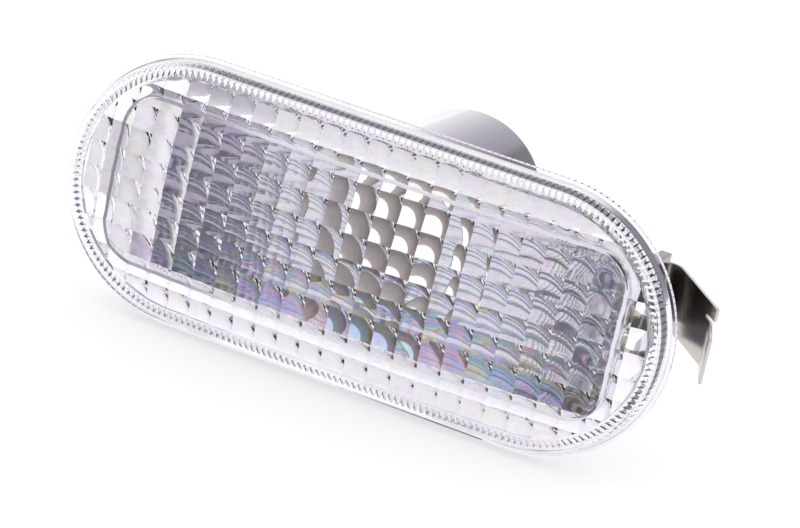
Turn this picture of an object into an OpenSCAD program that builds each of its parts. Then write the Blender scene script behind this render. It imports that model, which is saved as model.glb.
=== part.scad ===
// Obround indicator lamp for a vehicle's side panel: a clear lens, a metallised reflector
// housing with its bulb holder port, and a spring clip.
// The modules draw the lamp face up: x runs along it, y across it, and z out of the lit face
// from the seat at z = 0. The last lines stand it up, with the lit face towards -Y.

/* [Lens] */
// Length of the lens over its seating edge
lens_l = 100; // [92:1:120]
// Height of the lens over its seating edge
lens_h = 42.8; // [42:0.2:50]
// Height of the front edge above the seat
edge_h = 3.9; // [3.4:0.1:5]
// How far the edge leans in from the seat to the front
edge_draft = 1.2; // [0.6:0.1:1.6]
// Radius on the front edge
edge_r = 0.8; // [0.4:0.1:1.2]
// Steepness of the shoulder between the edge and the crown
shoulder_angle = 30; // [20:1:40]
// Width of the thin ledge round the seat
ledge_w = 0.45; // [0.2:0.05:0.6]
// Thickness of that ledge
ledge_t = 0.8; // [0.5:0.1:1.2]
// Height of the crown above the seat
crown_h = 7; // [6.6:0.1:9]
// Radius of the crown across the lamp
crown_across_r = 78; // [60:1:120]
// Radius of the crown along the lamp
crown_along_r = 370; // [300:5:420]
// Thickness of the lens between the pillows
lens_t = 2.4; // [2:0.1:2.8]
// Thickness of the edge at the seat
edge_t = 1.9; // [1.5:0.1:2.2]

/* [Pillow optics] */
// Width of each of the two rows of pillows round the opening
border_w = 3.15; // [2.8:0.05:3.3]
// Pillows along the reflector opening
pillow_columns = 21; // [15:1:25]
// Pillows across the reflector opening
pillow_rows = 6; // [4:1:8]
// How far a pillow stands proud of its corners
pillow_rise = 0.9; // [0.4:0.1:1.1]
// Steps across one pillow
pillow_steps = 3; // [2:1:4]

/* [Edge ribs] */
// Distance from one fine rib to the next
rib_pitch = 1; // [0.9:0.1:2]
// Length of a rib, from the edge inwards
rib_l = 1.2; // [0.6:0.1:1.3]
// Distance between the ribs' roots and the edge wall
rib_root = 0.1; // [0.05:0.05:0.3]
// Height of the ribs
rib_h = 1.6; // [1:0.1:2]
// Height above the seat where the ribs end
rib_top = 2.5; // [2.2:0.1:2.8]

/* [Reflector opening] */
// Length of the opening
opening_l = 79.7; // [70:0.1:82]
// Height of the opening
opening_h = 23.1; // [22.6:0.1:23.8]
// Radius in the corners of the opening
opening_r = 4; // [3.5:0.1:8]
// Thickness of the lens's wall round the opening, which the housing is welded to
weld_t = 1.2; // [0.9:0.1:1.4]
// Distance from the lowest pillow back to the weld
weld_gap = 0.3; // [0.1:0.05:0.6]

/* [Reflector housing] */
// Depth of the reflector behind the seat
reflector_depth = 15; // [12:0.1:17]
// Radius of each curved wing of the reflector
wing_r = 52; // [46:1:70]
// Flutes across the reflector
flutes = 7; // [5:1:9]
// Depth of a flute
flute_depth = 0.5; // [0.2:0.1:0.7]
// Wall thickness of the housing
housing_t = 1.8; // [1.4:0.1:2.2]
// Height of the straight rim that is welded to the lens
rim_h = 2; // [1.4:0.1:3]

/* [Bulb holder port] */
// Bore of the port
port_d = 22; // [18:0.1:22.4]
// Wall thickness of the port
port_t = 1.9; // [1.4:0.1:2.4]
// Depth of the port's open end behind the seat
port_depth = 43.5; // [34:0.5:50]
// Place of the port along the lamp
port_x = -2; // [-6:0.5:4]
// Chamfer at the port's open end
port_chamfer = 0.6; // [0.3:0.1:0.9]
// Thickness of the gussets beside the port
gusset_t = 1.6; // [1:0.1:2.4]
// Reach of a gusset from the port
gusset_l = 13; // [8:0.5:18]
// Height of a gusset down the port
gusset_h = 12; // [6:0.5:18]

/* [Fixed lug] */
// Thickness of the panel that the lamp is made for
panel_t = 1.2; // [0.7:0.1:1.4]
// Play between the panel and the lug
panel_play = 0.4; // [0.2:0.1:0.6]
// Reach of the lug from the end wall
lug_l = 5; // [3:0.1:6]
// Width of the lug
lug_w = 12; // [8:0.5:16]
// Thickness of the lug
lug_t = 1.8; // [1.4:0.1:2.4]

/* [Spring clip] */
// Width of the strip
clip_w = 9.7; // [8:0.1:12]
// Thickness of the strip
clip_t = 0.5; // [0.4:0.05:0.6]
// Radius of the hairpin bend, to the middle of the strip
hairpin_r = 2.3; // [2:0.1:3]
// Depth of the hairpin's centre behind the seat
hairpin_depth = 25.6; // [23:0.1:30]
// Distance from the lamp's middle to the hairpin's centre
hairpin_x = 38.7; // [36.5:0.1:40]
// Length of the leg inside the tongue
leg_l = 12; // [9.5:0.5:15]
// Angle of the leaf from the lamp's length
leaf_angle = 51; // [45:1:60]
// Length of the leaf
leaf_l = 14.6; // [10:0.1:18]
// Angle of the lip from the lamp's length
lip_angle = 70.5; // [64:0.5:80]
// Length of the lip
lip_l = 7.9; // [5:0.1:10]
// Radius of the fold between leaf and lip
fold_r = 1; // [0.6:0.1:1.5]
// Width of the ear beside the lip
ear_w = 2.05; // [1.5:0.05:3]
// Length of the ear past the fold
ear_l = 1.7; // [1:0.1:2.5]
// Width of the relief slot beside the ear
slot_w = 0.56; // [0.4:0.02:1]
// Length of the relief slot
slot_l = 1.6; // [1:0.1:2.5]

/* [Clip tongue] */
// Width of the tongue that carries the clip
tongue_w = 14; // [13.5:0.1:16]
// Thickness of the tongue
tongue_t = 1.9; // [1.5:0.1:2.2]
// Gap between the strip and the tongue
clip_play = 0.1; // [0.05:0.01:0.2]
// Thickness of the guide ribs beside the leg
guide_t = 1.5; // [1:0.1:1.8]
// Length of the barb that holds the clip
barb_l = 2.8; // [2:0.1:3.5]
// Distance from the leg's end to the barb
barb_setback = 1.2; // [0.8:0.1:2]
// Width of the barb
barb_w = 3; // [2:0.1:4]
// Angle that the barb stands out
barb_angle = 24; // [18:1:30]
// Width of the slit round the barb
barb_slit = 0.2; // [0.1:0.05:0.4]
// Room round the barb in its window
window_play = 0.4; // [0.3:0.1:0.8]

/* [Hidden] */
$fn = 96;
// Steps in the drawn arcs, and round the crown's two large circles
corner_steps = 5;
bend_steps = 24;
fold_steps = 4;
crown_steps = 256;
// Overlaps that keep a cut or a join clear of a shared face
over = 1;
lap = 0.3;
seat_r = lens_h / 2;
end_x = (lens_l - lens_h) / 2;
inner_r = seat_r - edge_t;
rib_r = inner_r - rib_l;
pillow_pitch_x = opening_l / pillow_columns;
pillow_pitch_y = opening_h / pillow_rows;
weld_x = opening_l / 2 + weld_t;
weld_y = opening_h / 2 + weld_t;
weld_z = crown_at(weld_x, weld_y) - lens_t - pillow_rise - weld_gap;
pad_r = opening_h / 2 + 2 * border_w;
pad_x = end_x + pad_r;
port_r = port_d / 2;
tube_r = port_r + port_t;
wing_z = wing_r - reflector_depth;
flute_pitch = opening_h / flutes;
flute_r = (pow(flute_pitch / 2, 2) + pow(flute_depth, 2)) / (2 * flute_depth);
leg_x = hairpin_x - hairpin_r;
tongue_x = leg_x + clip_t / 2 + clip_play;
barb_z = -hairpin_depth + leg_l - barb_setback;
barb_drop = barb_l * cos(barb_angle);
lug_z = -panel_t - panel_play;
lip_w = clip_w - ear_w - slot_w;

function arc(centre, r, from, to, steps) =
    [for (i = [0:steps]) let(a = from + (to - from) * i / steps) centre + r * [cos(a), sin(a)]];

// Outlines

module obround(r) {
    square([2 * end_x, 2 * r], center = true);
    for (side = [-1, 1])
        translate([side * end_x, 0]) circle(r);
}

module rounded_rectangle(l, h, r) {
    square([l - 2 * r, h], center = true);
    square([l, h - 2 * r], center = true);
    for (x = [-1, 1], y = [-1, 1])
        translate([x * (l / 2 - r), y * (h / 2 - r)]) circle(r);
}

module block(z0, z1) {
    translate([0, 0, z0]) linear_extrude(z1 - z0) children();
}

// Carries a half profile, drawn from the middle line outwards, round the obround.
module carry_round() {
    for (side = [-1, 1])
        translate([side * end_x, 0, 0])
            rotate([0, 0, -90 * side]) rotate_extrude(angle = 180) children();
    rotate([90, 0, 90]) linear_extrude(2 * end_x, center = true) {
        children();
        mirror([1, 0]) children();
    }
}

// Lens

module edge_profile() {
    front_r = seat_r - edge_draft;
    corner = arc([front_r - edge_r, edge_h - edge_r], edge_r, 0, 90 - shoulder_angle,
        corner_steps);
    shoulder = corner[len(corner) - 1];
    polygon(concat(
        [[0, 0], [seat_r, 0], [seat_r, ledge_t], [seat_r - ledge_w, ledge_t]],
        corner,
        [[0, shoulder.y + shoulder.x * tan(shoulder_angle)]]
    ));
}

// The crown is curved along and across the lamp, as a patch on the outside of a large ring.
module crown() {
    sweep = 2 * asin((lens_l / 2 + over) / crown_along_r);
    skin = crown_h + 2 * over + pow(lens_l, 2) / (8 * crown_along_r);
    translate([0, 0, crown_h - crown_along_r])
        rotate([90, 0, 0]) rotate([0, 0, 90 - sweep / 2])
            rotate_extrude(angle = sweep, $fn = crown_steps) intersection() {
                translate([crown_along_r - crown_across_r, 0]) circle(crown_across_r);
                translate([crown_along_r - skin, -seat_r - over])
                    square([skin + over, 2 * (seat_r + over)]);
            }
}

function crown_at(x, y) =
    let(ring = crown_along_r - crown_across_r + sqrt(pow(crown_across_r, 2) - y * y))
    crown_h - crown_along_r + sqrt(ring * ring - x * x);

// Grid lines along one axis, each with the square of its place between the middle of its
// pillow at 0 and the pillow's edge at 1.
function grid_lines(count, pitch, pad_at) =
    let(border_at = (count * pitch / 2 + pad_at) / 2)
    let(edges = concat(
        [-pad_at, -border_at],
        [for (i = [0:count]) (i - count / 2) * pitch],
        [border_at, pad_at]
    ))
    concat(
        [[-pad_at - lap - 2 * over, 1], [-pad_at - lap - over, 1]],
        [for (i = [0:len(edges) - 2], k = [0:pillow_steps - 1])
            [edges[i] + (edges[i + 1] - edges[i]) * k / pillow_steps,
                pow(2 * k / pillow_steps - 1, 2)]],
        [[pad_at, 1], [pad_at + lap + over, 1], [pad_at + lap + 2 * over, 1]]
    );

function pillow_at(column, row) =
    crown_at(column[0], row[0]) - lens_t - pillow_rise * (1 - (column[1] + row[1]) / 2);

// The hollow under the pillows, which is drawn as one block with the pillows in its top.
module pillow_hollow() {
    columns = grid_lines(pillow_columns, pillow_pitch_x, pad_x);
    rows = grid_lines(pillow_rows, pillow_pitch_y, pad_r);
    nx = len(columns);
    ny = len(rows);
    top = [for (j = [0:ny - 1], i = [0:nx - 1])
        let(rim = i == 0 || j == 0 || i == nx - 1 || j == ny - 1)
        [columns[i][0], rows[j][0], rim ? -over : pillow_at(columns[i], rows[j])]];
    middle = len(top);
    outline = concat(
        [for (i = [0:nx - 1]) i],
        [for (j = [1:ny - 1]) j * nx + nx - 1],
        [for (i = [nx - 2:-1:0]) (ny - 1) * nx + i],
        [for (j = [ny - 2:-1:1]) j * nx]
    );
    grid = [for (j = [0:ny - 2], i = [0:nx - 2])
        let(a = j * nx + i, b = a + nx)
        each [[a, b, b + 1], [a, b + 1, a + 1]]];
    base = [for (k = [0:len(outline) - 1])
        [middle, outline[k], outline[(k + 1) % len(outline)]]];
    polyhedron(points = concat(top, [[0, 0, -over]]), faces = concat(grid, base));
}

// An obround with fine ribs: its outline runs to and fro between two radii.
module ribbed_obround(r_in, r_out) {
    mean_r = (r_in + r_out) / 2;
    on_straight = round(2 * end_x / rib_pitch);
    on_end = round(PI * mean_r / rib_pitch);
    polygon([for (side = [1, -1]) each concat(
        [for (i = [0:2 * on_end - 1])
            let(a = side * 90 - 180 + i * 90 / on_end + (side > 0 ? 0 : 180))
            [side * end_x, 0] + (i % 2 == 0 ? r_out : r_in) * side * [cos(a * side), sin(a)]],
        [for (i = [0:2 * on_straight - 1])
            side * [end_x - i * end_x / on_straight, i % 2 == 0 ? r_out : r_in]]
    )]);
}

module weld_outline() {
    difference() {
        rounded_rectangle(2 * weld_x, 2 * weld_y, opening_r + weld_t);
        rounded_rectangle(opening_l, opening_h, opening_r);
    }
}

module lens() {
    color([0.93, 0.92, 0.97, 0.45]) {
        difference() {
            intersection() {
                carry_round() edge_profile();
                crown();
            }
            difference() {
                intersection() {
                    block(-over, crown_h) obround(pad_r + lap);
                    pillow_hollow();
                }
                block(weld_z, crown_h) weld_outline();
            }
            block(-over, rib_top - rib_h) difference() {
                obround(inner_r);
                obround(pad_r);
            }
            block(rib_top - rib_h - lap, rib_top) difference() {
                ribbed_obround(rib_r, inner_r - rib_root);
                obround(pad_r);
            }
        }
        block(weld_z, max(weld_z, 0) + lap) weld_outline();
    }
}

// Reflector housing

module wings(r, fluted) {
    half = opening_h / 2 + housing_t + over;
    for (side = [-1, 1])
        translate([port_x + side * port_r, 0, wing_z]) rotate([90, 0, 0]) rotate_extrude() {
            translate([0, -half]) square([fluted ? r - flute_depth : r, 2 * half]);
            if (fluted)
                for (i = [0:flutes - 1])
                    translate([r - flute_r, (i - (flutes - 1) / 2) * flute_pitch])
                        intersection() {
                            circle(flute_r);
                            translate([0, -flute_pitch / 2]) square([flute_r, flute_pitch]);
                        }
        }
}

module reflector_hollow() {
    intersection() {
        block(-reflector_depth - over, weld_z + over)
            rounded_rectangle(opening_l, opening_h, opening_r);
        wings(wing_r, true);
    }
}

module bowl_outline() {
    rounded_rectangle(opening_l + 2 * housing_t, opening_h + 2 * housing_t,
        opening_r + housing_t);
}

module bowl() {
    intersection() {
        block(-reflector_depth - housing_t, weld_z) bowl_outline();
        wings(wing_r + housing_t, false);
    }
    block(weld_z - rim_h, weld_z) bowl_outline();
}

module port() {
    translate([port_x, 0, -port_depth])
        cylinder(r = tube_r, h = port_depth - reflector_depth + housing_t);
}

module port_bore() {
    translate([port_x, 0, -port_depth - over])
        cylinder(d = port_d, h = port_depth - reflector_depth + 3 * over);
    translate([port_x, 0, -port_depth - lap])
        cylinder(r1 = port_r + port_chamfer + lap, r2 = port_r, h = port_chamfer + lap);
}

module gussets() {
    translate([port_x, gusset_t / 2, -reflector_depth]) rotate([90, 0, 0])
        linear_extrude(gusset_t) for (side = [-1, 1]) scale([side, 1])
            polygon([[port_r + lap, -gusset_h], [tube_r, -gusset_h], [tube_r + gusset_l, 0],
                [tube_r + gusset_l, housing_t], [port_r + lap, housing_t]]);
}

module fixed_lug() {
    root = opening_l / 2 + housing_t;
    translate([-root - lug_l, -lug_w / 2, lug_z - lug_t])
        cube([lug_l + housing_t / 2, lug_w, lug_t]);
}

// The tongue stands behind the reflector with a rib along each side, so that the clip's leg
// runs in a channel, and its window takes the clip's barb.
module clip_tongue() {
    tip = hairpin_depth;
    translate([tongue_x, -tongue_w / 2, -tip]) cube([tongue_t, tongue_w, tip + weld_z]);
    for (side = [-1, 1])
        translate([leg_x - guide_t, side * (tongue_w - guide_t) / 2 - guide_t / 2, -tip + hairpin_r])
            cube([tongue_x - leg_x + guide_t + lap, guide_t, tip - hairpin_r + weld_z]);
}

module barb_window() {
    translate([tongue_x - lap, -barb_w / 2 - window_play, barb_z - barb_drop - window_play])
        cube([tongue_t + 2 * lap, barb_w + 2 * window_play, barb_drop + 2 * window_play]);
}

module reflector_housing() {
    color([0.72, 0.71, 0.75]) difference() {
        union() {
            bowl();
            port();
            gussets();
            fixed_lug();
            clip_tongue();
        }
        reflector_hollow();
        port_bore();
        barb_window();
    }
}

// Spring clip

// The side view of the strip from its leg to where the leaf's relief slot starts, then on
// through tail points on the outer side, an end, and tail points on the inner side.
module strip(y0, y1, outer_tail, inner_tail) {
    half = clip_t / 2;
    centre = [hairpin_x, -hairpin_depth];
    leg_end = leg_l - hairpin_depth;
    translate([0, y1, 0]) rotate([90, 0, 0]) linear_extrude(y1 - y0) polygon(concat(
        [[leg_x - half, leg_end]],
        arc(centre, hairpin_r + half, 180, 270 + leaf_angle, bend_steps),
        [on_leaf(leaf_l - slot_l, half)],
        outer_tail,
        inner_tail,
        [on_leaf(leaf_l - slot_l, -half)],
        arc(centre, hairpin_r - half, 270 + leaf_angle, 180, bend_steps),
        [[leg_x + half, leg_end]]
    ));
}

// A point on the leaf, at a distance from the hairpin and a distance outwards.
function on_leaf(along, out) =
    [hairpin_x, -hairpin_depth] + (hairpin_r + out) * [sin(leaf_angle), -cos(leaf_angle)]
    + along * [cos(leaf_angle), sin(leaf_angle)];

module lip_strip() {
    half = clip_t / 2;
    centre = on_leaf(leaf_l, -fold_r);
    tip = centre + lip_l * [cos(lip_angle), sin(lip_angle)];
    out = [sin(lip_angle), -cos(lip_angle)];
    strip(-clip_w / 2, lip_w - clip_w / 2,
        concat(arc(centre, fold_r + half, leaf_angle - 90, lip_angle - 90, fold_steps),
            [tip + (fold_r + half) * out]),
        concat([tip + (fold_r - half) * out],
            arc(centre, fold_r - half, lip_angle - 90, leaf_angle - 90, fold_steps)));
}

module ear_strip() {
    half = clip_t / 2;
    strip(clip_w / 2 - ear_w, clip_w / 2,
        [on_leaf(leaf_l, half), on_leaf(leaf_l + ear_l, half)],
        [on_leaf(leaf_l + ear_l, -half), on_leaf(leaf_l, -half)]);
}

// The barb is cut out of the leg on three sides and bent into the tongue's window.
module barb() {
    translate([leg_x, -barb_w / 2, barb_z]) rotate([0, 180 - barb_angle, 0])
        translate([-clip_t / 2, 0, -clip_t / 2]) cube([clip_t, barb_w, barb_l + clip_t / 2]);
}

module barb_cut() {
    translate([leg_x - clip_t, -barb_w / 2 - barb_slit, barb_z - barb_l - barb_slit])
        cube([2 * clip_t, barb_w + 2 * barb_slit, barb_l + barb_slit]);
}

module spring_clip() {
    color([0.62, 0.6, 0.57]) {
        difference() {
            union() {
                lip_strip();
                strip(lip_w - clip_w / 2, clip_w / 2 - ear_w, [], []);
                ear_strip();
            }
            barb_cut();
        }
        barb();
    }
}

// The finished lamp stands with its lit face towards -Y.
module stand_up() {
    rotate([90, 0, 0]) children();
}

stand_up() lens();
stand_up() reflector_housing();
stand_up() spring_clip();
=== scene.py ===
import math

import bmesh
import bpy
from bpy.props import FloatProperty, FloatVectorProperty, IntProperty, PointerProperty
from mathutils import Matrix, Vector


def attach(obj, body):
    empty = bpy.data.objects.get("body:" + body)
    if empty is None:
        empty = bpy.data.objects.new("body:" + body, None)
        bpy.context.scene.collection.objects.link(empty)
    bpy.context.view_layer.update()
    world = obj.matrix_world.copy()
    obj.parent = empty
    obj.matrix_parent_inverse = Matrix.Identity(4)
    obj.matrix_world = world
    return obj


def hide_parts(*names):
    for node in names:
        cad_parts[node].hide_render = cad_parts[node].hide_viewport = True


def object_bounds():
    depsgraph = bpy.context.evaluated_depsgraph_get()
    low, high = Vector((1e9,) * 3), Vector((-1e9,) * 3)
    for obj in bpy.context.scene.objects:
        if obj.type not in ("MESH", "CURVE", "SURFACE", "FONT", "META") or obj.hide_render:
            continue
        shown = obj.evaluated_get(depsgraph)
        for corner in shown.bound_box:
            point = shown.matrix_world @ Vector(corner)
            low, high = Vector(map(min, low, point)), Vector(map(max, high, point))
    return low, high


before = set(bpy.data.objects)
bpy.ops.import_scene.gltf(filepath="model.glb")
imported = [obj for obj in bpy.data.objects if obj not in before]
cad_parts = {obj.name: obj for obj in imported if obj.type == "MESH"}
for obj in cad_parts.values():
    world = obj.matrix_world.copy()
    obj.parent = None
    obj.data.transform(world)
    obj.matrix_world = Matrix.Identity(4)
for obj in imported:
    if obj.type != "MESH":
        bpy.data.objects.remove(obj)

bl_info = {
    "name": "Indicator lamp",
    "version": (1, 0, 0),
    "blender": (4, 5, 0),
    "location": "View3D > Sidebar > Indicator lamp",
    "description": "Builds a vehicle's clear side indicator lamp round its packed frame",
    "category": "Object",
}

CAD_BOX = [list(corner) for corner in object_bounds()]
# The pieces are drawn face up, with z out of the lit face, and then stood up.
STAND_UP = Matrix.Rotation(math.radians(90), 4, "X")
# Directions of the photograph's view, in the row's frame
VIEW_RIGHT = Vector((0.892, 0.400, 0.208))
VIEW_UP = Vector((-0.315, 0.222, 0.923))
VIEW_BACK = Vector((0.323, -0.889, 0.325))
VIEW_PLACE = Vector((0.1971, -0.5267, 0.1925))
# Focal length of the camera, in millimetres
VIEW_FOCAL = 180.2
# The light tent's mouth: cosine of the angle to the camera where it begins, and where it is full
TENT_MOUTH = (0.88, 0.98)
# Steps round each end of an obround, and along each of its sides
END_STEPS, SIDE_STEPS = 120, 114
# Keeps faces apart that would otherwise lie in one plane
HAIR = 0.00002
# How far a cutting block reaches past the face that it cuts
PAST = 0.001
# Where the blocks that shape the lens begin, below its seat
UNDER = -0.004
# Fixed forms of the housing
GUSSET_LENGTH, GUSSET_HEIGHT, GUSSET_THICKNESS = 0.013, 0.012, 0.0016
LUG_LENGTH, LUG_WIDTH, LUG_ROOT = 0.005, 0.012, 0.0009
LUG_FRONT, LUG_BACK = -0.0016, -0.0034
CLIP_GAP = 0.0001
TONGUE_WIDTH, TONGUE_THICKNESS = 0.014, 0.0019
GUIDE_PLACE, GUIDE_WIDTH, GUIDE_REACH, GUIDE_ROOT = 0.00625, 0.0015, 0.0015, 0.0003
SHORT_OF_WELD = 0.0005
# Zones of the metallised coat, in the row's frame: where a zone begins, and where it is full
# Painted shade on the coat towards the lug
LUG_PAINTED_SHADE_X = (-0.0180, -0.0270)
MILKY_END_X = (-0.0360, -0.0385)
LOWER_WALL_Z = (-0.0110, -0.0113)
BEHIND_Y = (0.0160, 0.0190)
# The port's painted shading, measured from its own place along the lamp
PORT_SIDE_X = (-0.004, 0.0124)
# How far the bare plastic reaches past the bore
BORE_MARGIN = 0.0002


def linear(code):
    """A colour from its sRGB hex code."""
    parts = [int(code[i:i + 2], 16) / 255 for i in (1, 3, 5)]
    return [p / 12.92 if p <= 0.04045 else ((p + 0.055) / 1.055) ** 2.4 for p in parts] + [1.0]


def length(name, description, default):
    return FloatProperty(name=name, description=description, default=default, unit="LENGTH",
                         precision=5, min=0.0)


def angle(name, description, degrees):
    return FloatProperty(name=name, description=description, default=math.radians(degrees),
                         unit="ROTATION")


def colour(name, description, code):
    return FloatVectorProperty(name=name, description=description, default=linear(code),
                               size=4, subtype="COLOR", min=0.0, max=1.0)


class LampLensProperties(bpy.types.PropertyGroup):
    seat_length: length("Length", "Length of the lens over its seating edge", 0.1)
    seat_height: length("Height", "Height of the lens over its seating edge", 0.0428)
    edge_height: length("Edge height", "Height of the front edge above the seat", 0.0039)
    edge_draft: length("Edge draft", "How far the edge leans in", 0.0012)
    edge_radius: length("Edge radius", "Radius on the front edge", 0.0008)
    edge_thickness: length("Edge thickness", "Thickness of the edge at the seat", 0.0019)
    shoulder: angle("Shoulder", "Steepness between the edge and the crown", 30)
    ledge_width: length("Ledge width", "Width of the thin ledge round the seat", 0.00045)
    ledge_thickness: length("Ledge thickness", "Thickness of that ledge", 0.0008)
    crown_height: length("Crown height", "Height of the crown above the seat", 0.007)
    crown_across: length("Crown across", "Radius of the crown across the lamp", 0.078)
    crown_along: length("Crown along", "Radius of the crown along the lamp", 0.37)
    thickness: length("Thickness", "Thickness of the lens between the pillows", 0.0024)
    pillow_rise: length("Pillow rise", "How far a pillow stands proud of its corners", 0.0009)
    columns: IntProperty(name="Columns", description="Pillows along the opening", default=21)
    rows: IntProperty(name="Rows", description="Pillows across the opening", default=6)
    border: length("Border", "Width of each of the two rows of pillows round the opening", 0.00315)
    rib_length: length("Rib length", "Length of a fine rib, from the edge inwards", 0.0012)
    rib_root: length("Rib root", "Distance between the ribs' roots and the edge wall", 0.0001)
    rib_top: length("Rib top", "Height above the seat where the ribs end", 0.0025)
    rib_height: length("Rib height", "Height of the ribs", 0.0016)
    acrylic: colour("Acrylic", "Colour of the clear acrylic", "#FEFBFE")


class LampHousingProperties(bpy.types.PropertyGroup):
    opening_length: length("Opening length", "Length of the reflector's opening", 0.0797)
    opening_height: length("Opening height", "Height of the reflector's opening", 0.0231)
    opening_radius: length("Opening radius", "Radius in the opening's corners", 0.004)
    weld_thickness: length("Weld wall", "Thickness of the welded wall", 0.0006)
    weld_gap: length("Weld gap", "Distance from the lowest pillow back to the weld", 0.0003)
    depth: length("Depth", "Depth of the reflector behind the seat", 0.015)
    wing_radius: length("Wing radius", "Radius of each curved wing", 0.052)
    flutes: IntProperty(name="Flutes", description="Flutes across the reflector", default=14)
    flute_depth: length("Flute depth", "Depth of a flute", 0.00016)
    wall: length("Wall", "Wall thickness of the housing", 0.0018)
    rim_height: length("Rim height", "Height of the welded rim", 0.002)
    port_bore: length("Port bore", "Bore of the bulb holder port", 0.022)
    port_wall: length("Port wall", "Wall thickness of the port", 0.0019)
    port_depth: length("Port depth", "Depth of the port's open end", 0.0435)
    port_place: FloatProperty(name="Port place", description="Place of the port along the lamp",
                              default=-0.002, unit="LENGTH", precision=5)
    coat: colour("Coat", "Colour of the metallised coat", "#ECE9EF")
    bare: colour("Bare plastic", "Colour of the bare ABS inside the port", "#CBBFB9")


class LampClipProperties(bpy.types.PropertyGroup):
    width: length("Width", "Width of the strip", 0.0097)
    thickness: length("Thickness", "Thickness of the strip", 0.0005)
    bend_radius: length("Bend radius", "Radius of the hairpin bend", 0.0023)
    bend_depth: length("Bend depth", "Depth of the hairpin's centre behind the seat", 0.0256)
    bend_place: length("Bend place", "Distance from the lamp's middle to the bend", 0.0387)
    leg_length: length("Leg length", "Length of the leg inside the tongue", 0.012)
    leaf: angle("Leaf angle", "Angle of the leaf from the lamp's length", 51)
    leaf_length: length("Leaf length", "Length of the leaf", 0.0146)
    lip: angle("Lip angle", "Angle of the lip from the lamp's length", 70.5)
    lip_length: length("Lip length", "Length of the lip", 0.0079)
    fold_radius: length("Fold radius", "Radius of the fold between leaf and lip", 0.001)
    ear_width: length("Ear width", "Width of the ear beside the lip", 0.00205)
    ear_length: length("Ear length", "Length of the ear past the fold", 0.0017)
    slot_width: length("Slot width", "Width of the relief slot", 0.00056)
    slot_length: length("Slot length", "Length of the relief slot", 0.0016)
    barb_width: length("Barb width", "Width of the barb", 0.003)
    barb_length: length("Barb length", "Length of the barb", 0.0028)
    barb_setback: length("Barb setback", "Distance from the leg's end to the barb", 0.0012)
    barb_slit: length("Barb slit", "Width of the slit round the barb", 0.0002)
    barb: angle("Barb angle", "Angle that the barb stands out", 24)
    steel: colour("Steel", "Colour of the spring steel", "#CFC9C0")


class LampStageProperties(bpy.types.PropertyGroup):
    backdrop: colour("Backdrop", "Colour of the floor and the walls of the light tent", "#FFFFFF")
    room: colour("Room", "Colour of the unlit room behind the camera", "#86818E")


# Drawing

def picked(parts, kind):
    """The vertices, or the edges, among what an operator made."""
    return [part for part in parts if isinstance(part, kind)]


def add_object(name, data):
    made = bpy.data.objects.new(name, data)
    bpy.context.scene.collection.objects.link(made)
    return made


def sheet(name, bm):
    """Turns a bmesh into an object as it is, and frees the bmesh."""
    mesh = bpy.data.meshes.new(name)
    bm.to_mesh(mesh)
    bm.free()
    return add_object(name, mesh)


def to_object(name, bm):
    """Turns a closed bmesh into an object, and frees the bmesh."""
    bmesh.ops.remove_doubles(bm, verts=bm.verts, dist=1e-7)
    bmesh.ops.recalc_face_normals(bm, faces=bm.faces)
    if bm.calc_volume(signed=True) < 0:
        bmesh.ops.reverse_faces(bm, faces=bm.faces)
    open_edges = [edge for edge in bm.edges if len(edge.link_faces) != 2]
    if open_edges:
        raise RuntimeError(f"{name} has {len(open_edges)} open edges")
    return sheet(name, bm)


def shape_with(target, tool, operation):
    """Cuts, joins or trims target with tool, and removes the tool."""
    step = target.modifiers.new("shape", "BOOLEAN")
    step.operation = operation
    step.object = tool
    step.solver = "MANIFOLD"
    seen = target.evaluated_get(bpy.context.evaluated_depsgraph_get())
    mesh = bpy.data.meshes.new_from_object(seen)
    target.modifiers.clear()
    old, target.data = target.data, mesh
    bpy.data.meshes.remove(old)
    spent = tool.data
    bpy.data.objects.remove(tool)
    bpy.data.meshes.remove(spent)
    if not mesh.polygons:
        raise RuntimeError(f"{target.name} came out empty after {operation}")
    return target


def dress(piece, material, node, crease):
    """Stands a finished piece up in the row's frame in place of its CAD node."""
    mesh = piece.data
    mesh.transform(STAND_UP)
    mesh.shade_smooth()
    mesh.set_sharp_from_angle(angle=math.radians(crease))
    mesh.materials.clear()
    mesh.materials.append(material)
    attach(piece, "root")
    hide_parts(node)
    return piece


def obround_loop(bm, radius, half_span, z):
    """A closed loop of edges on an obround, with each vertex marked by turns as a tooth."""
    turn = Matrix.Translation((0, 0, z)) @ Matrix.Rotation(math.pi / END_STEPS / 2, 4, "Z")
    ring = bmesh.ops.create_circle(bm, segments=2 * END_STEPS, radius=radius, matrix=turn)["verts"]
    for vert in ring:
        vert.co.x += math.copysign(half_span, vert.co.x)
    sides = [edge for edge in bm.edges if edge.calc_length() > half_span]
    bmesh.ops.subdivide_edges(bm, edges=sides, cuts=SIDE_STEPS - 1)
    tooth = bm.verts.layers.int.new("tooth")
    bm.verts.ensure_lookup_table()
    walk, before, odd = bm.verts[0], None, 0
    for _ in range(len(bm.verts)):
        walk[tooth] = odd
        onward = [edge for edge in walk.link_edges if edge is not before][0]
        walk, before, odd = onward.other_vert(walk), onward, 1 - odd
    return bm.edges[:]


def carry_round(bm, edges, half_span, rings):
    """Extrudes a loop from ring to ring. A ring is a radius and a height, or functions that give
    the radius from the tooth mark and the height from the place."""
    tooth = bm.verts.layers.int["tooth"]
    for radius, height in rings:
        grown = bmesh.ops.extrude_edge_only(bm, edges=edges)["geom"]
        edges = [edge for edge in picked(grown, bmesh.types.BMEdge) if edge.is_boundary]
        for vert in picked(grown, bmesh.types.BMVert):
            middle = Vector((max(-half_span, min(half_span, vert.co.x)), 0, 0))
            out = Vector((vert.co.x, vert.co.y, 0)) - middle
            reach = radius(vert[tooth]) if callable(radius) else radius
            place = middle + reach * out.normalized()
            place.z = height(place, reach) if callable(height) else height
            vert.co = place
    return edges


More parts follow.
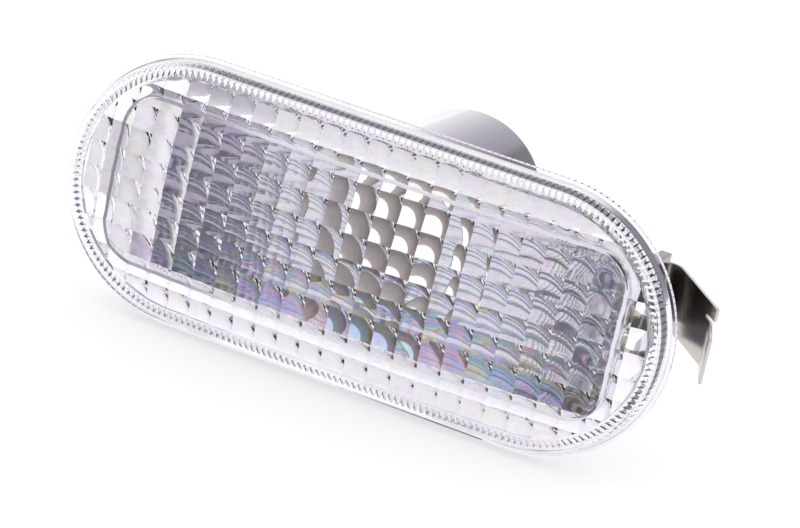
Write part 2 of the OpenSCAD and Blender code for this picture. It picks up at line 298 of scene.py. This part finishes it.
def obround_block(name, radius, half_span, low, high):
    bm = bmesh.new()
    edges = obround_loop(bm, radius, half_span, low)
    top = carry_round(bm, edges, half_span, [(radius, high)])
    bmesh.ops.edgeloop_fill(bm, edges=edges)
    bmesh.ops.edgeloop_fill(bm, edges=top)
    return to_object(name, bm)


def rounded_block(name, size_x, size_y, radius, low, high, draft=0.0, steps=14):
    """A block with rounded corners, whose sides lean out by the draft from bottom to top."""
    bm = bmesh.new()
    place = Matrix.Translation((0, 0, low)) @ Matrix.Diagonal((size_x, size_y, 1, 1))
    bmesh.ops.create_grid(bm, x_segments=1, y_segments=1, size=0.5, matrix=place)
    bmesh.ops.bevel(bm, geom=bm.verts[:], offset=radius, offset_type="OFFSET", affect="VERTICES",
                    segments=steps, profile=0.5, material=-1)
    top = raise_faces(bm, (0, 0, high - low))
    bmesh.ops.scale(bm, vec=(1 + 2 * draft / size_x, 1 + 2 * draft / size_y, 1), verts=top)
    return to_object(name, bm)


def raise_faces(bm, rise):
    """Extrudes every face of an open sheet into a closed block, and gives its new vertices."""
    grown = bmesh.ops.extrude_face_region(bm, geom=bm.faces[:])["geom"]
    top = picked(grown, bmesh.types.BMVert)
    bmesh.ops.translate(bm, vec=rise, verts=top)
    return top


def relief_block(name, columns, rows, height, cap):
    """A block between the level cap and a surface, whose height comes from a function of two grid
    lines."""
    bm = bmesh.new()
    bmesh.ops.create_grid(bm, x_segments=len(columns) - 1, y_segments=len(rows) - 1, size=1)
    places = {}
    for vert in bm.verts:
        i = round((vert.co.x + 1) / 2 * (len(columns) - 1))
        j = round((vert.co.y + 1) / 2 * (len(rows) - 1))
        places[vert] = (i, j)
    for vert, (i, j) in places.items():
        vert.co = (columns[i][0], rows[j][0], height(columns[i], rows[j]))
    for vert in raise_faces(bm, (0, 0, 0)):
        vert.co.z = cap
    return to_object(name, bm)


def box_block(name, low, high, bevel=0.0002):
    bm = bmesh.new()
    low, high = Vector(low), Vector(high)
    bmesh.ops.create_cube(bm, size=1, matrix=Matrix.Translation((low + high) / 2)
                          @ Matrix.Diagonal((*(high - low), 1)))
    if bevel:
        bmesh.ops.bevel(bm, geom=bm.edges[:], offset=bevel, offset_type="OFFSET", affect="EDGES",
                        segments=2, profile=0.5, material=-1)
    return to_object(name, bm)


def turned_block(name, place_x, outline, steps=160):
    """A solid turned about an upright line at place_x, from an outline of radii and heights."""
    bm = bmesh.new()
    verts = [bm.verts.new((place_x + radius, 0, height)) for radius, height in outline]
    edges = [bm.edges.new(pair) for pair in zip(verts, verts[1:])]
    bmesh.ops.spin(bm, geom=verts + edges, cent=(place_x, 0, 0), axis=(0, 0, 1), dvec=(0, 0, 0),
                   angle=math.tau, steps=steps, use_merge=True, use_duplicate=False)
    return to_object(name, bm)


def arc(centre, radius, start, end, steps):
    """Points on an arc in a plane, from one angle to another in degrees."""
    return [(centre[0] + radius * math.cos(math.radians(start + (end - start) * i / steps)),
             centre[1] + radius * math.sin(math.radians(start + (end - start) * i / steps)))
            for i in range(steps + 1)]


# Materials

def add_node(tree, kind, values=None, links=None, **settings):
    """Adds a node. Settings are its own, values go on its sockets, links come from other nodes."""
    made = tree.nodes.new(kind)
    for key, value in settings.items():
        setattr(made, key, value)
    for key, value in (values or {}).items():
        made.inputs[key].default_value = value
    for key, source in (links or {}).items():
        tree.links.new(source, made.inputs[key])
    return made


def colour_ramp(tree, value, stops):
    """A colour for a value, from places and sRGB hex codes."""
    made = add_node(tree, "ShaderNodeValToRGB", links={"Fac": value})
    ramp = made.color_ramp
    ramp.elements[0].position, ramp.elements[0].color = stops[0][0], linear(stops[0][1])
    ramp.elements[1].position, ramp.elements[1].color = stops[-1][0], linear(stops[-1][1])
    for spot, code in stops[1:-1]:
        ramp.elements.new(spot).color = linear(code)
    return made.outputs["Color"]


def noise(tree, place, scale, detail, roughness, distortion=0.0):
    """The value of a noise pattern at a place."""
    return add_node(tree, "ShaderNodeTexNoise", {
        "Scale": scale, "Detail": detail, "Roughness": roughness, "Distortion": distortion},
        {"Vector": place}).outputs["Fac"]


def bumps(tree, height, strength, distance):
    """A normal that follows a height."""
    return add_node(tree, "ShaderNodeBump", {"Strength": strength, "Distance": distance},
                    {"Height": height}).outputs["Normal"]


def new_material(name):
    material = bpy.data.materials.new(name)
    material.use_nodes = True
    material.node_tree.nodes.clear()
    return material, material.node_tree


def clear_acrylic(look):
    """Clear acrylic, injection moulded in a polished tool: water clear, with a breath of lilac in
    its depth, a faint waviness where the melt flowed, and pastel colours where it set under
    stress."""
    material, tree = new_material("clear_acrylic_moulded")
    place = add_node(tree, "ShaderNodeTexCoord").outputs["Object"]
    # Flow waves about 6 mm long
    relief = bumps(tree, noise(tree, place, 160.0, 2.0, 0.4), 0.05, 0.0004)
    # Stress colours in patches 2 to 3 mm wide
    pastel = colour_ramp(tree, noise(tree, place, 330.0, 2.0, 0.5, 0.5), (
        (0.32, "#F6E7CF"), (0.41, "#DDF5E9"), (0.49, "#FFFFFF"), (0.56, "#D9E6FB"),
        (0.63, "#F2DDF8"), (0.7, "#FBE3EA")))
    tint = add_node(tree, "ShaderNodeMix", {"Factor": 0.35, "A": look.acrylic}, {"B": pastel},
                    data_type="RGBA", blend_type="MULTIPLY")
    skin = add_node(tree, "ShaderNodeBsdfPrincipled",
                    {"Roughness": 0.0, "IOR": 1.49, "Transmission Weight": 1.0},
                    {"Base Color": tint.outputs["Result"], "Normal": relief})
    add_node(tree, "ShaderNodeOutputMaterial", links={"Surface": skin.outputs["BSDF"]})
    return material


def metallised_coat(look):
    """ABS with vacuum metallised aluminium under a clear lacquer: a bright cool mirror with a fine
    orange peel. Its colour is darkened by painted shade near the lug and on the port's outside
    towards the clip, and the lacquer on the reflector's lower wall shows colours like oil. The
    milky end by the lug lets light through, and the port's bore is bare."""
    material, tree = new_material("abs_metallised")
    place = add_node(tree, "ShaderNodeTexCoord").outputs["Object"]
    at = add_node(tree, "ShaderNodeSeparateXYZ", links={0: place}).outputs
    facing = add_node(tree, "ShaderNodeNewGeometry").outputs["Normal"]
    face = add_node(tree, "ShaderNodeSeparateXYZ", links={0: facing}).outputs

    def step(value, start, full):
        """0 up to where a zone begins, and 1 from where it is full."""
        return add_node(tree, "ShaderNodeMapRange", {"From Min": start, "From Max": full},
                        {"Value": value}).outputs["Result"]

    def both(first, second):
        return add_node(tree, "ShaderNodeMath", links={0: first, 1: second},
                        operation="MULTIPLY").outputs[0]

    # Orange peel about 1.5 mm across
    relief = bumps(tree, noise(tree, place, 650.0, 2.0, 0.5), 0.05, 0.00003)
    # Faint pastel colours, where the lacquer thickens and thins over about 1 mm
    tint = colour_ramp(tree, noise(tree, place, 900.0, 3.0, 0.6), (
        (0.25, "#D5DCFA"), (0.38, "#CFEFE6"), (0.5, "#F2F2F5"), (0.62, "#F8F0CE"),
        (0.75, "#F7DDE6")))
    shade = add_node(tree, "ShaderNodeMix", {"Factor": 0.4, "A": look.coat},
                     {"B": tint}, data_type="RGBA", blend_type="MULTIPLY")
    # Painted shade: the coat's colour is darkened towards the lug
    lug_painted_shade = add_node(tree, "ShaderNodeMix", {"B": linear("#ABA6B2")},
                    {"Factor": step(at["X"], *LUG_PAINTED_SHADE_X), "A": shade.outputs["Result"]},
                    data_type="RGBA")
    # Strong colours on the lower wall, in bands 2 to 4 mm wide
    rainbow = colour_ramp(tree, noise(tree, place, 260.0, 2.0, 0.5, 0.6), (
        (0.3, "#C6BAAC"), (0.38, "#F2E2BC"), (0.45, "#B2E2D4"), (0.51, "#ACC6F4"),
        (0.57, "#D6C2F0"), (0.63, "#F6D0DE"), (0.7, "#E0D7CA")))
    lower = both(step(at["Z"], *LOWER_WALL_Z), step(face["Z"], 0.4, 0.6))
    hue = add_node(tree, "ShaderNodeMix", {}, {"Factor": lower, "A": lug_painted_shade.outputs["Result"],
                                               "B": rainbow}, data_type="RGBA")
    # Painted shade on the outside of the port: lilac grey, darkening towards the clip
    side = step(at["X"], *(look.port_place + off for off in PORT_SIDE_X))
    port_painted_shade = colour_ramp(tree, side, (
        (0.0, "#E0DBE6"), (0.45, "#A29CAC"), (0.7, "#837D8D"), (0.76, "#57525E"), (1.0, "#504C57")))
    behind = step(at["Y"], *BEHIND_Y)
    hue = add_node(tree, "ShaderNodeMix", {}, {"Factor": behind, "A": hue.outputs["Result"],
                                               "B": port_painted_shade}, data_type="RGBA")
    skin = add_node(tree, "ShaderNodeBsdfPrincipled", {"Metallic": 1.0, "Roughness": 0.06},
                    {"Base Color": hue.outputs["Result"], "Normal": relief})
    # The end wall by the lug has no coat, and light shines through its milky plastic
    milk = add_node(tree, "ShaderNodeBsdfTranslucent", {"Color": linear("#FCFBFC")})
    end = step(at["X"], *MILKY_END_X)
    skin = add_node(tree, "ShaderNodeMixShader",
                    links={0: end, 1: skin.outputs[0], 2: milk.outputs[0]})
    # The bare bore of the port, warm grey and half matt
    axis = add_node(tree, "ShaderNodeMapping", {"Location": (-look.port_place, 0.0, 0.0),
                                                "Scale": (1.0, 0.0, 1.0)}, {"Vector": place})
    off = add_node(tree, "ShaderNodeVectorMath", links={0: axis.outputs["Vector"]},
                   operation="LENGTH")
    inner = add_node(tree, "ShaderNodeMath", {1: look.port_bore / 2 + BORE_MARGIN},
                     {0: off.outputs["Value"]}, operation="LESS_THAN")
    plain = add_node(tree, "ShaderNodeBsdfPrincipled", {"Base Color": look.bare, "Roughness": 0.35})
    skin = add_node(tree, "ShaderNodeMixShader",
                    links={0: inner.outputs[0], 1: skin.outputs[0], 2: plain.outputs["BSDF"]})
    add_node(tree, "ShaderNodeOutputMaterial", links={"Surface": skin.outputs[0]})
    return material


def spring_steel(look):
    """Cold rolled spring steel strip: a warm satin grey, drawn out along the strip by the rolls."""
    material, tree = new_material("spring_steel_rolled")
    place = add_node(tree, "ShaderNodeTexCoord").outputs["Object"]
    # Rolling lines about 0.12 mm apart across the strip, which lies along Z
    lines = add_node(tree, "ShaderNodeMapping", {"Scale": (120.0, 120.0, 4000.0)},
                     {"Vector": place})
    grain = noise(tree, lines.outputs["Vector"], 2.0, 3.0, 0.6)
    relief = bumps(tree, grain, 0.1, 0.00005)
    rough = add_node(tree, "ShaderNodeMapRange", {"To Min": 0.2, "To Max": 0.3}, {"Value": grain})
    skin = add_node(tree, "ShaderNodeBsdfPrincipled",
                    {"Base Color": look.steel, "Metallic": 1.0},
                    {"Roughness": rough.outputs["Result"], "Normal": relief})
    add_node(tree, "ShaderNodeOutputMaterial", links={"Surface": skin.outputs["BSDF"]})
    return material


# Shared sizes of the lens and the housing

def lens_sizes(scene):
    """The weld wall's inner half sizes and its draft from the opening, the obround's half span,
    the pillows' outer radius, and the height of the weld."""
    lens, housing = scene.lamp_lens, scene.lamp_housing
    draft = housing.wall - housing.weld_thickness
    weld_x = housing.opening_length / 2 + draft
    weld_y = housing.opening_height / 2 + draft
    half_span = (lens.seat_length - lens.seat_height) / 2
    pad_r = housing.opening_height / 2 + 2 * lens.border
    low = crown_at(lens, weld_x, weld_y) - lens.thickness - lens.pillow_rise - housing.weld_gap
    return weld_x, weld_y, draft, half_span, pad_r, low


def tongue_at(clip):
    """Place along the lamp of the tongue's face, a small gap away from the clip's leg."""
    return clip.bend_place - clip.bend_radius + clip.thickness / 2 + CLIP_GAP


def crown_at(lens, x, y):
    ring = lens.crown_along - lens.crown_across + math.sqrt(lens.crown_across ** 2 - y * y)
    return lens.crown_height - lens.crown_along + math.sqrt(ring * ring - x * x)


def pillow_lines(count, pitch, pad_at, steps=10):
    """Grid lines along one axis, each with the square of its place from the middle of its pillow
    at 0 to the pillow's edge at 1."""
    border_at, margin = (count * pitch / 2 + pad_at) / 2, 0.002
    edges = [-pad_at, -border_at] + [(i - count / 2) * pitch for i in range(count + 1)]
    edges += [border_at, pad_at]
    lines = [(-pad_at - margin, 1.0)]
    for start, end in zip(edges, edges[1:]):
        for k in range(steps):
            lines.append((start + (end - start) * k / steps, (2 * k / steps - 1) ** 2))
    return lines + [(pad_at, 1.0), (pad_at + margin, 1.0)]


class LAMP_OT_lens(bpy.types.Operator):
    """Builds the clear lens with its pillow optics, fine edge ribs and weld wall"""
    bl_idname = "lamp.lens"
    bl_label = "Build the lens"

    def execute(self, context):
        lens, housing = context.scene.lamp_lens, context.scene.lamp_housing
        weld_x, weld_y, draft, half_span, pad_r, weld_z = lens_sizes(context.scene)
        rim_x, rim_y = weld_x + housing.weld_thickness, weld_y + housing.weld_thickness
        inner_r, rim_r = housing.opening_radius + draft, housing.opening_radius + housing.wall
        piece = self.outside(lens, half_span)
        channel = self.rib_channel(lens, half_span, pad_r)
        shape_with(piece, channel, "DIFFERENCE")
        for inside in (True, False):
            hollow = self.pillows(lens, housing, half_span, pad_r)
            if inside:
                wall = rounded_block("opening", 2 * weld_x, 2 * weld_y, inner_r, UNDER,
                                     lens.crown_height)
                shape_with(hollow, wall, "INTERSECT")
            else:
                pad = obround_block("pad", pad_r + HAIR, half_span, UNDER, lens.crown_height)
                shape_with(hollow, pad, "INTERSECT")
                wall = rounded_block("wall", 2 * rim_x, 2 * rim_y, rim_r, UNDER - PAST,
                                     lens.crown_height + PAST)
                shape_with(hollow, wall, "DIFFERENCE")
            shape_with(piece, hollow, "DIFFERENCE")
        lap = 0.0003
        foot = rounded_block("foot", 2 * rim_x, 2 * rim_y, rim_r, weld_z + HAIR,
                             max(weld_z, 0) + lap)
        gap = rounded_block("gap", 2 * weld_x, 2 * weld_y, inner_r, UNDER, PAST)
        shape_with(foot, gap, "DIFFERENCE")
        shape_with(piece, foot, "UNION")
        dress(piece, clear_acrylic(lens), "lens", 24)
        return {"FINISHED"}

    def outside(self, lens, half_span):
        """The full lens without its hollows: the ledge, the edge, the shoulder and the crown."""
        seat_r = lens.seat_height / 2
        front_r = seat_r - lens.edge_draft
        corner = arc((front_r - lens.edge_radius, lens.edge_height - lens.edge_radius),
                     lens.edge_radius, 0, 90 - math.degrees(lens.shoulder), 6)
        start_r, start_z = corner[-1]
        slope = math.tan(lens.shoulder)
        blend = 0.0001

        def front(place, reach):
            crown = crown_at(lens, place.x, place.y)
            shoulder = start_z + (start_r - reach) * slope
            return (crown + shoulder - math.hypot(crown - shoulder, blend)) / 2

        fine_step, fine_count, coarse_count = 0.00015, 16, 18
        fine = [start_r - fine_step * i for i in range(1, fine_count + 1)]
        coarse = [fine[-1] * (1 - i / coarse_count) for i in range(1, coarse_count + 1)]
        bm = bmesh.new()
        seat = obround_loop(bm, seat_r, half_span, 0)
        rings = [(seat_r, lens.ledge_thickness), (seat_r - lens.ledge_width, lens.ledge_thickness)]
        rings += corner + [(reach, front) for reach in fine + coarse]
        carry_round(bm, seat, half_span, rings)
        carry_round(bm, seat, half_span, [(seat_r * 0.5, 0), (0, 0)])
        return to_object("lens_clear", bm)

    def rib_channel(self, lens, half_span, pad_r):
        """The channel between the edge and the pillows, with the fine ribs on its outer side."""
        inner_r = lens.seat_height / 2 - lens.edge_thickness
        rib_r = inner_r - lens.rib_length
        root_r = inner_r - lens.rib_root
        low = -PAST
        foot = lens.rib_top - lens.rib_height

        def ribbed(tooth):
            return rib_r if tooth else root_r

        bm = bmesh.new()
        start = obround_loop(bm, pad_r, half_span, low)
        end = carry_round(bm, start, half_span, [
            (pad_r, lens.rib_top), (ribbed, lens.rib_top), (ribbed, foot), (inner_r, foot),
            (inner_r, low)])
        bmesh.ops.bridge_loops(bm, edges=start + end)
        return to_object("rib_channel", bm)

    def pillows(self, lens, housing, half_span, pad_r):
        """The hollow under the lens, with the pillows in its top."""
        columns = pillow_lines(lens.columns, housing.opening_length / lens.columns,
                               half_span + pad_r)
        rows = pillow_lines(lens.rows, housing.opening_height / lens.rows, pad_r)

        def surface(column, row):
            swell = lens.pillow_rise * (1 - (column[1] + row[1]) / 2)
            return crown_at(lens, column[0], row[0]) - lens.thickness - swell

        return relief_block("pillows", columns, rows, surface, -0.002)


class LAMP_OT_housing(bpy.types.Operator):
    """Builds the metallised reflector housing with its port, gussets, lug and clip tongue"""
    bl_idname = "lamp.housing"
    bl_label = "Build the reflector housing"

    def execute(self, context):
        housing, clip = context.scene.lamp_housing, context.scene.lamp_clip
        _, _, draft, _, _, weld_z = lens_sizes(context.scene)
        wall = housing.wall
        outer = (housing.opening_length + 2 * wall, housing.opening_height + 2 * wall,
                 housing.opening_radius + wall)
        piece = self.wings(housing, housing.wing_radius + wall, False, weld_z)
        bowl = rounded_block("bowl", *outer, -housing.depth - 2 * wall, weld_z)
        shape_with(piece, bowl, "INTERSECT")
        rim = rounded_block("rim", *outer, weld_z - housing.rim_height, weld_z)
        shape_with(piece, rim, "UNION")
        for part in self.outworks(housing, clip, weld_z):
            shape_with(piece, part, "UNION")
        hollow = self.wings(housing, housing.wing_radius, True, weld_z + PAST)
        mouth = rounded_block("mouth", housing.opening_length, housing.opening_height,
                              housing.opening_radius, -housing.depth, weld_z + PAST / 2,
                              draft=draft)
        shape_with(hollow, mouth, "INTERSECT")
        shape_with(piece, hollow, "DIFFERENCE")
        bore_r, chamfer, low = housing.port_bore / 2, 0.0006, -housing.port_depth
        bore = turned_block("bore", housing.port_place, [
            (0, low - PAST), (bore_r + chamfer + PAST, low - PAST), (bore_r, low + chamfer),
            (bore_r, 0), (0, 0)])
        shape_with(piece, bore, "DIFFERENCE")
        window_z = -clip.bend_depth + clip.leg_length - clip.barb_setback
        drop = clip.barb_length * math.cos(clip.barb)
        tongue_x, half, room, through = tongue_at(clip), clip.barb_width / 2, 0.0004, 0.0003
        window = box_block("window", (tongue_x - through, -half - room, window_z - drop - room),
                           (tongue_x + TONGUE_THICKNESS + through, half + room,
                            window_z + room), 0)
        shape_with(piece, window, "DIFFERENCE")
        piece.name = "reflector_moulding"
        dress(piece, metallised_coat(housing), "reflector_housing", 32)
        return {"FINISHED"}

    def wings(self, housing, radius, fluted, cap):
        """The two curved wings of the reflector, which meet over the port."""
        pitch = housing.opening_height / housing.flutes
        flute_r = ((pitch / 2) ** 2 + housing.flute_depth ** 2) / (2 * housing.flute_depth)
        centre_z = housing.wing_radius - housing.depth
        centres = [housing.port_place + side * housing.port_bore / 2 for side in (-1, 1)]
        half_x = housing.opening_length / 2 + housing.wall
        half_y = housing.opening_height / 2 + housing.wall + PAST
        steps = 12 if fluted else 1
        rows = []
        for i in range(-1, housing.flutes + 1):
            for k in range(steps):
                across = (k / steps - 0.5) * pitch
                dip = flute_r - math.sqrt(flute_r ** 2 - across ** 2) if fluted else 0
                rows.append(((i - (housing.flutes - 1) / 2 + k / steps - 0.5) * pitch, dip))
        rows.append((half_y + pitch, housing.flute_depth if fluted else 0))
        half_steps, overhang = 110, 1.02
        columns = [(half_x * (i / half_steps - 1) * overhang, 0)
                   for i in range(2 * half_steps + 1)]

        def surface(column, row):
            off = min(abs(column[0] - centre) for centre in centres)
            reach = math.sqrt((radius - row[1]) ** 2 - off ** 2)
            return centre_z - reach

        return relief_block("wings", columns, rows, surface, cap)

    def outworks(self, housing, clip, weld_z):
        """What stands behind the reflector: the port, its gussets, the lug and the tongue."""
        tube_r = housing.port_bore / 2 + housing.port_wall
        low, top, soft = -housing.port_depth, -housing.depth + housing.wall, 0.0003
        rounding = arc((tube_r - soft, low + soft), soft, -90, 0, 4)
        yield turned_block("port", housing.port_place, [(0, low)] + rounding
                           + [(tube_r, top), (0, top)])
        for side in (-1, 1):
            bm = bmesh.new()
            root = housing.port_place + side * (tube_r - PAST)
            tip = housing.port_place + side * (tube_r + GUSSET_LENGTH)
            near = housing.port_place + side * tube_r
            foot = -housing.depth - GUSSET_HEIGHT
            outline = [(root, foot), (near, foot), (tip, -housing.depth), (tip, top), (root, top)]
            bm.faces.new([bm.verts.new((x, -GUSSET_THICKNESS / 2, z)) for x, z in outline])
            raise_faces(bm, (0, GUSSET_THICKNESS, 0))
            yield to_object("gusset", bm)
        end = housing.opening_length / 2 + housing.wall
        yield box_block("lug", (-end - LUG_LENGTH, -LUG_WIDTH / 2, LUG_BACK),
                        (-end + LUG_ROOT, LUG_WIDTH / 2, LUG_FRONT))
        leg_x, tongue_x = clip.bend_place - clip.bend_radius, tongue_at(clip)
        front = weld_z - SHORT_OF_WELD
        yield box_block("tongue", (tongue_x, -TONGUE_WIDTH / 2, -clip.bend_depth),
                        (tongue_x + TONGUE_THICKNESS, TONGUE_WIDTH / 2, front))
        for side in (-1, 1):
            middle = side * GUIDE_PLACE
            yield box_block("guide", (leg_x - GUIDE_REACH, middle - GUIDE_WIDTH / 2,
                                      -clip.bend_depth + clip.bend_radius),
                            (tongue_x + GUIDE_ROOT, middle + GUIDE_WIDTH / 2, front))


class LAMP_OT_clip(bpy.types.Operator):
    """Builds the spring clip from one folded strip"""
    bl_idname = "lamp.clip"
    bl_label = "Build the spring clip"

    def execute(self, context):
        clip = context.scene.lamp_clip
        half = clip.width / 2
        lip_edge = half - clip.ear_width - clip.slot_width
        barb_edge = clip.barb_width / 2 + clip.barb_slit
        widths = [-half, -barb_edge, barb_edge, lip_edge, half - clip.ear_width, half]
        leg_x, top = clip.bend_place - clip.bend_radius, clip.leg_length - clip.bend_depth
        barb_z = top - clip.barb_setback
        leg = [(leg_x, top), (leg_x, barb_z), (leg_x, barb_z - clip.barb_length - clip.barb_slit)]
        centre = (clip.bend_place, -clip.bend_depth)
        turn = math.degrees(clip.leaf)
        hairpin = arc(centre, clip.bend_radius, 180, 270 + turn, 32)

        def on_leaf(along, out=0.0):
            run = Vector((math.cos(clip.leaf), math.sin(clip.leaf)))
            side = Vector((math.sin(clip.leaf), -math.cos(clip.leaf)))
            return Vector(centre) + (clip.bend_radius + out) * side + along * run

        leaf = [on_leaf(clip.leaf_length - clip.slot_length)]
        fold_centre = on_leaf(clip.leaf_length, -clip.fold_radius)
        fold = arc(fold_centre, clip.fold_radius, turn - 90, math.degrees(clip.lip) - 90, 6)
        lip_run = Vector((math.cos(clip.lip), math.sin(clip.lip)))
        lip = [Vector(fold[-1]) + lip_run * clip.lip_length]
        bm = bmesh.new()
        row = [bm.verts.new((leg[0][0], y, leg[0][1])) for y in widths]
        strips = [bm.edges.new(pair) for pair in zip(row, row[1:])]
        strips = self.draw_along(bm, strips, leg[1:2])
        strips = self.draw_along(bm, strips, leg[2:3])
        window = [edge for edge in strips if abs(self.middle(edge)) < clip.barb_width / 2]
        cut = [face for edge in window for face in edge.link_faces]
        strips = self.draw_along(bm, strips, hairpin + leaf)
        slotted = [edge for edge in strips
                   if not lip_edge < self.middle(edge) < half - clip.ear_width]
        ear = [edge for edge in slotted if self.middle(edge) > lip_edge]
        self.draw_along(bm, ear, [on_leaf(clip.leaf_length + clip.ear_length)])
        self.draw_along(bm, [edge for edge in slotted if edge not in ear], fold + lip)
        bmesh.ops.delete(bm, geom=cut, context="FACES")
        self.add_barb(bm, clip, leg_x, barb_z)
        piece = sheet("spring_strip", bm)
        gauge = piece.modifiers.new("gauge", "SOLIDIFY")
        gauge.thickness, gauge.offset, gauge.use_even_offset = clip.thickness, 0.0, True
        edges = piece.modifiers.new("edges", "BEVEL")
        edges.width, edges.segments, edges.limit_method = 0.00006, 2, "ANGLE"
        edges.angle_limit = math.radians(50)
        dress(piece, spring_steel(clip), "spring_clip", 40)
        return {"FINISHED"}

    def middle(self, edge):
        return (edge.verts[0].co.y + edge.verts[1].co.y) / 2

    def draw_along(self, bm, edges, points):
        """Extrudes a row of edges through points of the side view."""
        for x, z in points:
            rank = sorted(edges, key=self.middle)
            grown = bmesh.ops.extrude_edge_only(bm, edges=rank)["geom"]
            fresh = set(picked(grown, bmesh.types.BMVert))
            for vert in fresh:
                vert.co.x, vert.co.z = x, z
            edges = [edge for edge in picked(grown, bmesh.types.BMEdge) if set(edge.verts) <= fresh]
        return edges

    def add_barb(self, bm, clip, leg_x, barb_z):
        half = clip.barb_width / 2
        root = [bm.verts.new((leg_x, y, barb_z)) for y in (-half, half)]
        edge = bm.edges.new(root)
        out = clip.barb_length * math.sin(clip.barb)
        down = clip.barb_length * math.cos(clip.barb)
        self.draw_along(bm, [edge], [(leg_x + out, barb_z - down)])


class LAMP_OT_stage(bpy.types.Operator):
    """Sets the camera, the white light tent and the floor"""
    bl_idname = "lamp.stage"
    bl_label = "Set the stage"

    def execute(self, context):
        look = context.scene.lamp_stage
        self.camera(context)
        self.floor(look)
        self.light(context, look)
        context.scene.view_settings.view_transform = "Standard"
        return {"FINISHED"}

    def camera(self, context):
        data = bpy.data.cameras.new("photograph")
        data.sensor_width, data.lens, data.clip_start = 36.0, VIEW_FOCAL, 0.01
        made = add_object("photograph", data)
        axes = Matrix((VIEW_RIGHT, VIEW_UP, VIEW_BACK)).transposed().to_4x4()
        made.matrix_world = Matrix.Translation(VIEW_PLACE) @ axes
        context.scene.camera = made

    def floor(self, look):
        bm = bmesh.new()
        bmesh.ops.create_grid(bm, x_segments=8, y_segments=8, size=2.0,
                              matrix=Matrix.Translation((0, 0, CAD_BOX[0][2] - 0.0001)))
        floor = sheet("floor", bm)
        material, tree = new_material("matt_white_card")
        ray = add_node(tree, "ShaderNodeLightPath").outputs
        card = add_node(tree, "ShaderNodeBsdfDiffuse", {"Color": linear("#F4F4F4")})
        dim = add_node(tree, "ShaderNodeBsdfDiffuse", {"Color": linear("#C0C0C4")})
        glow = add_node(tree, "ShaderNodeEmission", {"Color": look.backdrop, "Strength": 0.6})
        shown = add_node(tree, "ShaderNodeAddShader", links={0: dim.outputs[0], 1: glow.outputs[0]})
        direct = ray["Is Camera Ray"]
        for kind in ("Is Glossy Ray", "Is Transmission Ray"):
            direct = add_node(tree, "ShaderNodeMath", links={0: direct, 1: ray[kind]},
                              operation="MAXIMUM").outputs[0]
        mixed = add_node(tree, "ShaderNodeMixShader",
                         links={0: direct, 1: card.outputs[0], 2: shown.outputs[0]})
        add_node(tree, "ShaderNodeOutputMaterial", links={"Surface": mixed.outputs[0]})
        floor.data.materials.append(material)

    def light(self, context, look):
        """A white tent all round, open to a dim room on the camera's side."""
        world = bpy.data.worlds.new("light_tent")
        world.use_nodes = True
        tree = world.node_tree
        tree.nodes.clear()
        place = add_node(tree, "ShaderNodeTexCoord").outputs["Generated"]
        facing = add_node(tree, "ShaderNodeVectorMath", {1: VIEW_BACK}, {0: place},
                          operation="DOT_PRODUCT")
        start, full = TENT_MOUTH
        mouth = add_node(tree, "ShaderNodeMapRange", {"From Min": start, "From Max": full},
                         {"Value": facing.outputs["Value"]}, interpolation_type="SMOOTHSTEP")
        tent = add_node(tree, "ShaderNodeMix", {"A": look.backdrop, "B": look.room},
                        {"Factor": mouth.outputs["Result"]}, data_type="RGBA")
        ray = add_node(tree, "ShaderNodeLightPath").outputs
        shown = add_node(tree, "ShaderNodeMix", {"B": look.backdrop},
                         {"Factor": ray["Is Camera Ray"], "A": tent.outputs["Result"]},
                         data_type="RGBA")
        glow = add_node(tree, "ShaderNodeBackground", {"Strength": 1.0},
                        {"Color": shown.outputs["Result"]})
        add_node(tree, "ShaderNodeOutputWorld", links={"Surface": glow.outputs[0]})
        context.scene.world = world


class LAMP_PT_panel(bpy.types.Panel):
    bl_idname = "LAMP_PT_panel"
    bl_label = "Indicator lamp"
    bl_space_type = "VIEW_3D"
    bl_region_type = "UI"
    bl_category = "Indicator lamp"

    def draw(self, context):
        for group, operator in (("lamp_lens", "lamp.lens"), ("lamp_housing", "lamp.housing"),
                                ("lamp_clip", "lamp.clip"), ("lamp_stage", "lamp.stage")):
            box = self.layout.box()
            values = getattr(context.scene, group)
            for name in values.bl_rna.properties.keys():
                if name not in ("rna_type", "name"):
                    box.prop(values, name)
            box.operator(operator)


GROUPS = {"lamp_lens": LampLensProperties, "lamp_housing": LampHousingProperties,
          "lamp_clip": LampClipProperties, "lamp_stage": LampStageProperties}
CLASSES = (*GROUPS.values(), LAMP_OT_stage, LAMP_OT_lens, LAMP_OT_housing, LAMP_OT_clip,
           LAMP_PT_panel)


def register():
    for made in CLASSES:
        bpy.utils.register_class(made)
    for name, group in GROUPS.items():
        setattr(bpy.types.Scene, name, PointerProperty(type=group))


def unregister():
    for name in GROUPS:
        delattr(bpy.types.Scene, name)
    for made in reversed(CLASSES):
        bpy.utils.unregister_class(made)


def main():
    register()
    bpy.ops.lamp.stage()
    bpy.ops.lamp.lens()
    bpy.ops.lamp.housing()
    bpy.ops.lamp.clip()
    bpy.context.view_layer.update()


if __name__ == "__main__":
    main()
